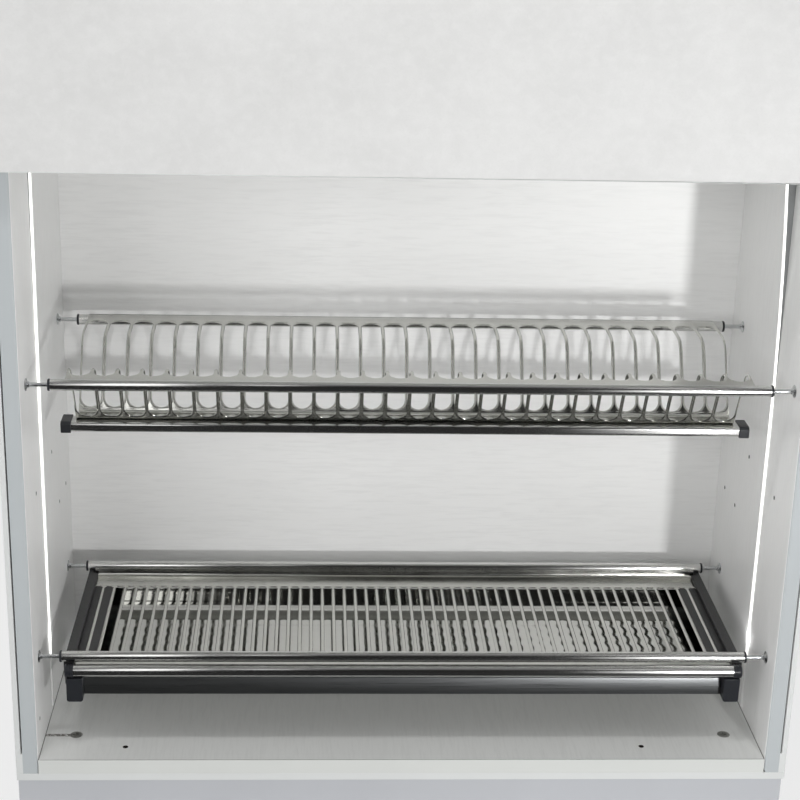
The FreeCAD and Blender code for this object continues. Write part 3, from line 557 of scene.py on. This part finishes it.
# %% Bushes
bush_rim = 6.9 * MM
bush_bore = 2.55 * MM
bush_depth = 15.0 * MM
bushes = []
for axis_z, axes_y in levels.values():
    for y in axes_y:
        outer = tube_end + 2.5 * MM
        rings = [(tube_end - bush_depth, bush_bore), (tube_end - bush_depth, 5.2 * MM),
                 (tube_end, 5.2 * MM), (tube_end, bush_rim - 0.4 * MM),
                 (tube_end + 0.3 * MM, bush_rim), (outer - 0.5 * MM, bush_rim),
                 (outer, bush_rim - 0.6 * MM), (outer, bush_bore + 1.6 * MM),
                 (outer - 0.5 * MM, bush_bore)]
        bushes.append(turned("bush", rings, y, axis_z, 40, close=True))
        bushes.append(turned("bush", mirrored_rings(rings), y, axis_z, 40, close=True))
hand_over(joined("black_rod_bushes", bushes), "root", "black_plastic", cap_plastic, "rod_bushes")

# %% Rods with their flanges
rod_radius = 2.5 * MM
rod_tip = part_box("upper_rods_right")[1].x
rod_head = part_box("upper_rods_right")[0].x
flange_face = inner_face
rod_rings = [
    (rod_head, 4.2 * MM), (rod_head + 0.4 * MM, 4.6 * MM), (rod_head + 1.8 * MM, 4.6 * MM),
    (rod_head + 2.0 * MM, rod_radius), (flange_face - 4.6 * MM, rod_radius),
    (flange_face - 4.0 * MM, 3.4 * MM), (flange_face - 2.2 * MM, 3.6 * MM),
    (flange_face - 1.6 * MM, 4.6 * MM), (flange_face - 1.2 * MM, 6.6 * MM),
    (flange_face - 0.7 * MM, 7.4 * MM), (flange_face - 0.2 * MM, 7.5 * MM),
    (flange_face, 7.3 * MM), (flange_face, rod_radius), (rod_tip - 0.6 * MM, rod_radius),
    (rod_tip, rod_radius - 0.5 * MM)]
for rack, (axis_z, axes_y) in levels.items():
    for side, rings in (("right", rod_rings), ("left", mirrored_rings(rod_rings))):
        node = rack + "_rods_" + side
        rods = [turned("rod", rings, y, axis_z, 32) for y in axes_y]
        hand_over(joined(node.replace("rods", "end_rods"), rods), node, "chromed", rod_chrome,
                  node)

# %% Nosing tube and its ribbed caps
nosing_radius = 7.0 * MM
nosing_low, nosing_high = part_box("nosing_tube")
nosing_y = (nosing_low.y + nosing_high.y) / 2
nosing_z = (nosing_low.z + nosing_high.z) / 2
nosing = open_tube("nosing_bar", nosing_high.x, nosing_radius, nosing_y, nosing_z)
hand_over(nosing, "root", "chromed", tube_steel, "nosing_tube")

cap_start = nosing_high.x
cap_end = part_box("nosing_caps")[1].x
cap_radius = 8.0 * MM
rib_drop = 0.7 * MM
cap_length = cap_end - cap_start
cap_rings = [(cap_start - 8 * MM, 5.8 * MM), (cap_start, 5.8 * MM),
             (cap_start, cap_radius - 0.3 * MM), (cap_start + 0.3 * MM, cap_radius)]
for share in (0.3, 0.62):
    middle = cap_start + share * cap_length
    for dx, drop in ((-0.8, 0), (-0.5, 1), (0.5, 1), (0.8, 0)):
        cap_rings.append((middle + dx * MM, cap_radius - drop * rib_drop))
cap_rings += [(cap_end - 1.5 * MM, cap_radius), (cap_end - 0.6 * MM, cap_radius - 0.4 * MM),
              (cap_end - 0.1 * MM, cap_radius - 1.1 * MM), (cap_end, cap_radius - 1.8 * MM)]
caps = [turned("cap", rings, nosing_y, nosing_z) for rings in
        (cap_rings, mirrored_rings(cap_rings))]
hand_over(joined("ribbed_nosing_caps", caps), "root", "black_plastic", cap_plastic,
          "nosing_caps")

# %% [markdown]
# ## The stamped plate rack
# The plate rack is one sheet of steel with long slots. The slots are punched while it is flat,
# and then it is bent to a valley with two shoulders. It is made the same way here: half of one
# slot's surround is laid out flat on a grid, bent by moving each row to its place along the bent
# line, mirrored, repeated for all the slots, and given its thickness.

# %% A bent line
def bent_line(points, bends):
    """Runs and arcs of a bent middle line in the (y, z) plane, with the length up to each."""
    corners = [Vector(point) for point in points]
    pieces = []
    place = corners[0]
    travelled = 0.0
    for index, bend in enumerate(bends):
        before = (corners[index + 1] - corners[index]).normalized()
        after = (corners[index + 2] - corners[index + 1]).normalized()
        turn = before.angle_signed(after)
        reach = bend * math.tan(abs(turn) / 2)
        start = corners[index + 1] - before * reach
        run = (start - place).length
        pieces.append((travelled, run, place, before, 0.0))
        travelled += run
        arc = bend * abs(turn)
        pieces.append((travelled, arc, start, before, -turn / arc))
        travelled += arc
        place = corners[index + 1] + after * reach
    last = (corners[-1] - place)
    pieces.append((travelled, last.length, place, last.normalized(), 0.0))
    return pieces, travelled + last.length


def point_on(pieces, s):
    """The point (y, z) at the length s along a bent line."""
    for start, length, place, heading, curl in reversed(pieces):
        if s >= start or start == 0.0:
            step = s - start
            if curl == 0.0:
                return place + heading * step
            angle = curl * step
            left = Vector((-heading.y, heading.x))
            return place + (heading * math.sin(angle) + left * (1 - math.cos(angle))) / curl
    return None


def down_from(pieces, s):
    """The way (y, z) from a bent line to its lower side, at the length s."""
    step = 0.02 * MM
    heading = (point_on(pieces, s + step) - point_on(pieces, s - step)).normalized()
    return Vector((heading.y, -heading.x))


def rim_drop(x, s, starts, half_width, rim):
    """How far a sheet turns down at (x, s), close to the edge of a slot with round ends."""
    width, depth = rim
    away = width
    for first, last in starts:
        beyond = max(first + half_width - s, s - last + half_width, 0.0)
        away = min(away, math.hypot(x, beyond) - half_width)
    return depth * (1 - max(away, 0.0) / width) ** 2


def slot_half_width(s, starts, half_width):
    """Half the width of the opening at s: zero outside every slot, with round ends."""
    for first, last in starts:
        if first < s < last:
            inside = min(s - first, last - s)
            if inside >= half_width:
                return half_width
            return math.sqrt(half_width ** 2 - (half_width - inside) ** 2)
    return 0.0


def slot_rows(starts, half_width, total, bends_at, step, end_step, rim_width):
    """Where the grid's rows lie: close together at slot ends and bends, further apart on runs."""
    rows = {0.0, total}
    for first, last in starts:
        for index in range(9):
            inside = half_width * (1 - math.cos(index / 8 * math.pi / 2))
            rows.update((first + inside, last - inside))
        for share in (0.3, 0.65, 1.0, 2.0):
            rows.update((first - share * rim_width, last + share * rim_width))
    for first, last in bends_at:
        count = max(2, int((last - first) / end_step))
        rows.update(first + (last - first) * index / count for index in range(count + 1))
    ordered = sorted(rows)
    filled = []
    for first, second in zip(ordered, ordered[1:]):
        count = max(1, math.ceil((second - first) / step))
        filled += [first + (second - first) * index / count for index in range(count)]
    filled.append(total)
    return [s for index, s in enumerate(filled) if index == 0 or s - filled[index - 1] > 1e-7]


def slotted_sheet(name, line, starts, half_width, pitch, count, thickness, rim, columns,
                  step, trim=None):
    """A bent sheet with a row of slots: one half surround, mirrored and repeated along X. rim is
    (width, depth) of the slots' turned-down edges, and trim picks faces that are cut away."""
    pieces, total = line
    bends_at = [(start, start + length) for start, length, _, _, curl in pieces if curl]
    rows = slot_rows(starts, half_width, total, bends_at, step, 1.5 * MM, rim[0])
    strip_half = pitch / 2 - half_width
    bpy.ops.object.select_all(action="DESELECT")
    bpy.ops.mesh.primitive_grid_add(x_subdivisions=columns, y_subdivisions=len(rows) - 1,
                                    size=1)
    piece = bpy.context.object
    piece.name = piece.data.name = name
    for vertex in piece.data.vertices:
        column = vertex.co.x + 0.5
        row = round((vertex.co.y + 0.5) * (len(rows) - 1))
        s = rows[row]
        opening = slot_half_width(s, starts, half_width)
        land = pitch / 2 - opening
        crowd = 1 + 1.3 * (land - strip_half) / half_width
        x = opening + land * column ** crowd
        down = down_from(pieces, s) * rim_drop(x, s, starts, half_width, rim)
        y, z = point_on(pieces, s) + down
        vertex.co = (x, y, z)
    modify(piece, "MIRROR", use_axis=(True, False, False), use_mirror_merge=True,
           merge_threshold=0.002 * MM)
    modify(piece, "ARRAY", count=count, use_relative_offset=False, use_constant_offset=True,
           constant_offset_displace=(pitch, 0, 0), use_merge_vertices=True,
           merge_threshold=0.01 * MM)
    for vertex in piece.data.vertices:
        vertex.co.x -= (count - 1) / 2 * pitch
    if trim:
        mark_faces(piece, trim)
        bpy.ops.object.mode_set(mode="EDIT")
        bpy.ops.mesh.delete(type="FACE")
        bpy.ops.object.mode_set(mode="OBJECT")
    modify(piece, "SOLIDIFY", thickness=thickness, offset=0, use_even_offset=True)
    modify(piece, "BEVEL", width=0.28 * thickness, segments=2, limit_method="ANGLE",
           angle_limit=math.radians(50))
    pick(piece)
    bpy.ops.object.shade_smooth_by_angle(angle=math.radians(60))
    return piece


# %% Plate rack
sheet = 1.0 * MM
plate_pitch = 28.0 * MM
plate_strip = 3.5 * MM
upper_z, (front_y, rear_y) = levels["upper"]
edge_drop = 2.7 * MM
edge_back = math.sqrt((tube_radius + 0.1 * MM) ** 2 - (edge_drop - sheet / 2) ** 2)
plate_points = [(front_y + edge_back, upper_z - edge_drop),
                (front_y + 58.5 * MM, upper_z + 3.3 * MM),
                (front_y + 100 * MM, upper_z - 76.7 * MM),
                (front_y + 124 * MM, upper_z - 76.7 * MM),
                (front_y + 171 * MM, upper_z + 5.3 * MM),
                (rear_y, upper_z + tube_radius + sheet / 2 + 0.05 * MM)]
plate_line = bent_line(plate_points, [16 * MM, 6 * MM, 6 * MM, 30 * MM])


def length_at(line, y_wanted, from_end=False):
    """The length along a bent line at which it first reaches a given y."""
    pieces, total = line
    steps = 2000
    places = [total * index / steps for index in range(steps + 1)]
    if from_end:
        places.reverse()
    ahead = point_on(pieces, places[0]).x < y_wanted
    for s in places:
        if (point_on(pieces, s).x < y_wanted) != ahead:
            return s
    return places[-1]


front_foot = length_at(plate_line, front_y + 97.24 * MM)
rear_foot = length_at(plate_line, front_y + 126.98 * MM)
plate_slots = [(length_at(plate_line, front_y + 32.5 * MM), front_foot),
               (rear_foot, length_at(plate_line, rear_y - 24 * MM, True))]
plate_rim = (plate_strip / 2, 1.3 * MM)
plate_slot_half = (plate_pitch - plate_strip) / 2
plate_count = round((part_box("plate_front_band")[1].x * 2 - plate_strip) / plate_pitch)
plate_rack = slotted_sheet("stamped_plate_rack", plate_line, plate_slots, plate_slot_half,
                           plate_pitch, plate_count, sheet, plate_rim, 4, 12 * MM)
hand_over(plate_rack, "root", "stainless", rack_steel, "plate_front_band",
          "plate_front_strips", "plate_trough", "plate_rear_strips", "plate_rear_band")

# %% Flat bar under the trough
bar = own_copy("trough_bar", "flat_trough_bar")
soften(bar, 0.25 * MM, 2, 40)
hand_over(bar, "root", "stainless", tube_steel, "trough_bar")
bar_caps = soften(own_copy("trough_bar_caps", "trough_bar_end_caps"), 0.5 * MM, 2)
hand_over(bar_caps, "root", "black_plastic", cap_plastic, "trough_bar_caps")

# %% [markdown]
# ## The lower rack
# The lower sheet is flat, with close, narrow slots and a lip at the back. It is made as the plate
# rack is. Black rails hold its ends, and the drip tray slides between them.

# %% Drainer sheet
lower_z, (low_front_y, low_rear_y) = levels["lower"]
drain_low, drain_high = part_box("drain_sheet")
drain_sheet_y = drain_low.y
lip_y = drain_high.y - sheet / 2
drain_z = lower_z - 9.3 * MM - sheet / 2
drain_line = bent_line([(drain_sheet_y, drain_z), (lip_y, drain_z), (lip_y, drain_high.z)],
                       [4 * MM])
drain_pitch = 14.1 * MM
drain_slot_half = 5.1 * MM
drain_slots = [(low_front_y + 5 * MM - drain_sheet_y, lip_y - 32.4 * MM - drain_sheet_y)]
drain_count = 56
drain_rim = (drain_pitch / 2 - drain_slot_half, 1.1 * MM)
drainer = slotted_sheet("slotted_drainer_sheet", drain_line, drain_slots, drain_slot_half,
                        drain_pitch, drain_count, sheet, drain_rim, 3, 40 * MM,
                        lambda middle, normal: (abs(middle.x) > cap_start - 0.5 * MM
                                                and middle.y < nosing_y + 10 * MM))
hand_over(drainer, "root", "stainless", rack_steel, "drain_sheet")

# %% Tray rails, tray front and its end caps
for side in ("left", "right"):
    rail = soften(own_copy("tray_rail_" + side, "black_tray_rail_" + side), 0.5 * MM, 2)
    hand_over(rail, "root", "black_plastic", black_plastic, "tray_rail_" + side)
dark_aluminium = polished_steel("dark_anodised_aluminium", "#8F9192", 0.32, (120, 0.5, 0.5),
                                0.004)
fascia = soften(own_copy("tray_front", "tray_front_profile"), 0.6 * MM, 3)
hand_over(fascia, "drip_tray", "dark_aluminium", dark_aluminium, "tray_front")
front_caps = soften(own_copy("tray_front_caps", "tray_front_end_caps"), 0.8 * MM, 3)
hand_over(front_caps, "drip_tray", "black_plastic", cap_plastic, "tray_front_caps")

# %% [markdown]
# ## The drip tray
# The tray is pressed from thin polished sheet. Its floor isn't quite flat: it has waves across it,
# too low to see, which bend the mirror image of the drainer's strips into zigzag lines. The floor
# is a grid, and its edge is extruded upwards for the walls.

# %% Pressed tray
tray_low, tray_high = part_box("drip_tray")
tray_wall = 0.8 * MM
wave_length = 23.5 * MM
wave_height = 0.12 * MM
cell = (20 * MM, 1.4 * MM)
tray_width = tray_high.x - tray_low.x - tray_wall
tray_depth = tray_high.y - tray_low.y - tray_wall
tray_middle = (tray_low + tray_high) / 2
bpy.ops.object.select_all(action="DESELECT")
bpy.ops.mesh.primitive_grid_add(x_subdivisions=round(tray_width / cell[0]),
                                y_subdivisions=round(tray_depth / cell[1]), size=1,
                                location=(0, tray_middle.y, tray_low.z + tray_wall / 2))
tray = bpy.context.object
tray.name = tray.data.name = "pressed_drip_tray"
tray.scale = (tray_width, tray_depth, 1)
settle(tray)
flat_edge = 12 * MM
for vertex in tray.data.vertices:
    x, y, z = vertex.co
    inside = min(tray_width / 2 - abs(x), tray_depth / 2 - abs(y - tray_middle.y))
    if inside > flat_edge:
        vertex.co.z += wave_height * (1 + math.sin(2 * math.pi * y / wave_length))
edge_y = (tray_middle.y - tray_depth / 2, tray_middle.y + tray_depth / 2)


def on_tray_edge(first, second):
    """Do both ends lie on the same side of the tray's floor?"""
    for axis, limits in ((0, (-tray_width / 2, tray_width / 2)), (1, edge_y)):
        for limit in limits:
            if abs(first[axis] - limit) < 0.01 * MM and abs(second[axis] - limit) < 0.01 * MM:
                return True
    return False


mark_edges(tray, on_tray_edge)
pick(tray)
bpy.ops.object.mode_set(mode="EDIT")
tray_rise = tray_high.z - tray_low.z - tray_wall / 2
bpy.ops.mesh.extrude_edges_move(TRANSFORM_OT_translate={"value": (0, 0, tray_rise)})
bpy.ops.mesh.select_all(action="SELECT")
bpy.ops.mesh.normals_make_consistent(inside=True)
bpy.ops.object.mode_set(mode="OBJECT")
modify(tray, "SOLIDIFY", thickness=tray_wall, offset=0, use_even_offset=True)
pick(tray)
bpy.ops.object.shade_smooth_by_angle(angle=math.radians(40))
tray_steel = polished_steel("pressed_polished_stainless", "#C9C9C5", 0.08, (40, 40, 40))
hand_over(tray, "drip_tray", "stainless", tray_steel, "drip_tray")

# %% [markdown]
# ## Light bars
# Each bar is an aluminium channel with a lit tape behind an opal lens. The lens glows evenly, so it
# gives off light itself, a little over white, and lights the side panel close to it.

# %% Lit lenses and their channels
glow, tree, shader = new_finish("lit_opal_lens", Roughness=0.4, IOR=1.49)
shader.inputs["Base Color"].default_value = paint("#F4F4F0")
shader.inputs["Emission Color"].default_value = paint("#FFFEFA")
shader.inputs["Emission Strength"].default_value = 1.35
lens = own_copy("light_lenses", "lit_opal_lenses")
lens_low, lens_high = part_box("light_lenses")
lens_narrowing = 0.42
mark_faces(lens, lambda centre, normal: True)
pick(lens)
bpy.ops.object.mode_set(mode="EDIT")
bpy.ops.mesh.select_all(action="SELECT")
bpy.ops.transform.resize(value=(1, lens_narrowing, 1),
                         center_override=(0, (lens_low.y + lens_high.y) / 2, 0))
bpy.ops.object.mode_set(mode="OBJECT")
soften(lens, 0.5 * MM, 3)
hand_over(lens, "root", "diffuser", glow, "light_lenses")
dress("light_channels", bare_aluminium)
dress("light_tapes", circuit_white)

# %% Fittings and hidden pieces
locks = soften(own_copy("cam_locks", "die_cast_cam_locks"), 0.2 * MM, 2)
hand_over(locks, "root", "die_cast", zinc_casting, "cam_locks")
hidden = {"cam_bolts": zinc_steel, "wooden_dowels": beech, "door_rail_left": bare_aluminium,
          "door_rail_right": bare_aluminium, "rail_screws": zinc_steel,
          "door_buffers": rubber, "spring_axles": zinc_steel, "door_arms": zinc_steel,
          "door_sliders": black_plastic, "door_screws": zinc_steel,
          "spring_strips": spring_steel, "spring_coil_left": spring_steel,
          "spring_coil_right": spring_steel, "spring_hub_left": nylon,
          "spring_hub_right": nylon}
for node, material in hidden.items():
    dress(node, material)
print(len(hidden), "hidden pieces dressed")

# %% [markdown]
# ## Studio
# The cabinet was lit by a small lamp above its front, whose light stops at the door's lower edge,
# and by a lamp low on the right. Both are area lamps here, with an even pale world around them.

# %% World and floor
def seen_directly(tree):
    """1 for rays that show a thing to the camera, also in a mirror or through glass."""
    path = add(tree, "ShaderNodeLightPath")
    seen = path.outputs["Is Camera Ray"]
    for ray in ("Is Glossy Ray", "Is Transmission Ray"):
        seen = add(tree, "ShaderNodeMath", {0: seen, 1: path.outputs[ray]},
                   operation="MAXIMUM").outputs[0]
    return seen


world = bpy.data.worlds.new("pale_studio")
scene.world = world
world.use_nodes = True
tree = world.node_tree
background = tree.nodes["Background"]
output = tree.nodes["World Output"]
background.inputs["Color"].default_value = paint("#FFFFFF")
background.inputs["Strength"].default_value = 0.42
shown = add(tree, "ShaderNodeBackground", {"Color": paint("#FFFFFF"), "Strength": 1.0})
mix = add(tree, "ShaderNodeMixShader", {"Fac": seen_directly(tree), 1: background.outputs[0],
                                        2: shown.outputs[0]})
tree.links.new(mix.outputs[0], output.inputs["Surface"])

bpy.ops.object.select_all(action="DESELECT")
bpy.ops.mesh.primitive_plane_add(size=12, location=(0, 0, 0))
floor = bpy.context.object
floor.name = "studio_floor"
floor_finish, tree, shader = new_finish("pale_studio_floor", Roughness=0.9)
shader.inputs["Base Color"].default_value = paint("#F2F2F2")
glowing = add(tree, "ShaderNodeEmission", {"Color": paint("#FFFFFF"), "Strength": 0.95})
seen_share = add(tree, "ShaderNodeMath",
                 {0: seen_directly(tree), 1: 0.75},
                 operation="MULTIPLY").outputs[0]
floor_mix = add(tree, "ShaderNodeMixShader",
                {"Fac": seen_share, 1: shader.outputs[0], 2: glowing.outputs[0]})
tree.links.new(floor_mix.outputs[0], tree.nodes["Material Output"].inputs["Surface"])
floor.data.materials.append(floor_finish)

# %% Lamps
def lamp(name, place, target, size, power, mirrored=True):
    """A rectangular area lamp that faces a point. mirrored says whether metal reflects it."""
    data = bpy.data.lights.new(name, "AREA")
    data.shape = "RECTANGLE"
    data.size, data.size_y = size
    data.energy = power
    item = bpy.data.objects.new(name, data)
    item.visible_glossy = mirrored
    scene.collection.objects.link(item)
    aim = (Vector(target) - Vector(place)).to_track_quat("-Z", "Y")
    item.matrix_world = Matrix.Translation(place) @ aim.to_matrix().to_4x4()
    return item


lamp("above_left", (-0.50, -0.80, 2.30), (-0.1, -0.1, 0.4), (0.16, 0.16), power=4.8,
     mirrored=False)
lamp("above_middle", (-0.10, -0.80, 2.30), (0.0, -0.1, 0.4), (0.16, 0.16), power=4.8,
     mirrored=False)
lamp("above_right", (0.75, -1.10, 2.30), (0.1, -0.1, 0.4), (0.17, 0.17), power=1.5,
     mirrored=False)
lamp("low_right", (0.71, -1.62, 0.45), (0.20, 0.16, 0.6), (0.07, 0.07), power=10.5)
lamp("wide_left", (-1.7, -2.6, 1.2), (0.0, 0.0, 0.6), (1.6, 1.2), power=27, mirrored=False)
for side in (-1, 1):
    data = bpy.data.lights.new("glint_on_wall", "POINT")
    data.energy = 0.012
    data.shadow_soft_size = 3 * MM
    item = bpy.data.objects.new("glint_on_wall", data)
    item.location = (side * 0.424, -0.054, 0.207)
    item.visible_glossy = False
    scene.collection.objects.link(item)

# %% Cards
def card(name, place, size, turn, level, soft=False):
    """A card that only reflections see, as a photographer flags or brightens a shiny object. A
    soft card fades towards its left and right edges."""
    finish, tree, shader = new_finish(name)
    light = add(tree, "ShaderNodeEmission", {"Color": paint("#FFFFFF"), "Strength": level})
    if soft:
        place_on = add(tree, "ShaderNodeTexCoord").outputs["Object"]
        across = add(tree, "ShaderNodeSeparateXYZ", {"Vector": place_on}).outputs["X"]
        off = add(tree, "ShaderNodeMath", {0: across}, operation="ABSOLUTE").outputs[0]
        fade = add(tree, "ShaderNodeMapRange", {"Value": off, "From Min": 0.1, "From Max": 0.5,
                                                "To Min": level, "To Max": 0.02},
                   interpolation_type="SMOOTHSTEP").outputs["Result"]
        tree.links.new(fade, light.inputs["Strength"])
    tree.links.new(light.outputs[0], tree.nodes["Material Output"].inputs["Surface"])
    bpy.ops.object.select_all(action="DESELECT")
    bpy.ops.mesh.primitive_plane_add(size=1, location=place, rotation=turn)
    item = bpy.context.object
    item.name = name
    item.scale = (*size, 1)
    item.data.materials.append(finish)
    for ray in ("camera", "diffuse", "transmission", "shadow", "volume_scatter"):
        setattr(item, "visible_" + ray, False)
    return item


upright = (math.pi / 2, 0, 0)
card("dark_card_behind_camera", (0, -3.7, 2.6), (8, 6.4), upright, 0.022)
card("dark_card_on_floor", (0, -2.0, 0.004), (8, 3.6), (0, 0, 0), 0.03)
card("grey_card_overhead", (0, -0.1, 3.4), (8, 4.6), (math.pi, 0, 0), 0.26)
card("strip_card_left", (-0.50, -1.5, 1.75), (0.34, 1.7), upright, 2.0, soft=True)
card("strip_card_middle", (-0.225, -1.5, 2.1), (0.26, 1.0), upright, 1.0, soft=True)
card("strip_card_right", (0.76, -1.5, 2.45), (0.30, 0.8), upright, 1.3, soft=True)
card("bright_card_low_right", (0.64, -1.5, 0.42), (0.50, 0.80), upright, 1.0, soft=True)

# %% Camera
# The photographer stood a little left of the middle and looked down into the cabinet.
camera_place = Vector((-0.1161, -1.9479, 1.1891))
yaw, pitch, roll = math.radians(-2.95), math.radians(19.28), math.radians(1.49)
focal_pixels, frame_pixels = 1713.4, 800
middle_pixels = (393.84, 393.15)
ahead = Vector((-math.sin(yaw) * math.cos(pitch), math.cos(yaw) * math.cos(pitch),
                -math.sin(pitch)))
side = Vector((math.cos(yaw), math.sin(yaw), 0))
up = side.cross(ahead)
right_axis = math.cos(roll) * side + math.sin(roll) * up
up_axis = -math.sin(roll) * side + math.cos(roll) * up
lens_data = bpy.data.cameras.new("photo_camera")
lens_data.sensor_width = 36
lens_data.lens = focal_pixels / frame_pixels * lens_data.sensor_width
lens_data.shift_x = (frame_pixels / 2 - middle_pixels[0]) / frame_pixels
lens_data.shift_y = (middle_pixels[1] - frame_pixels / 2) / frame_pixels
camera = bpy.data.objects.new("photo_camera", lens_data)
scene.collection.objects.link(camera)
turn = Matrix((right_axis, up_axis, -ahead)).transposed()
camera.matrix_world = Matrix.Translation(camera_place) @ turn.to_4x4()
scene.camera = camera
scene.view_settings.view_transform = "Standard"
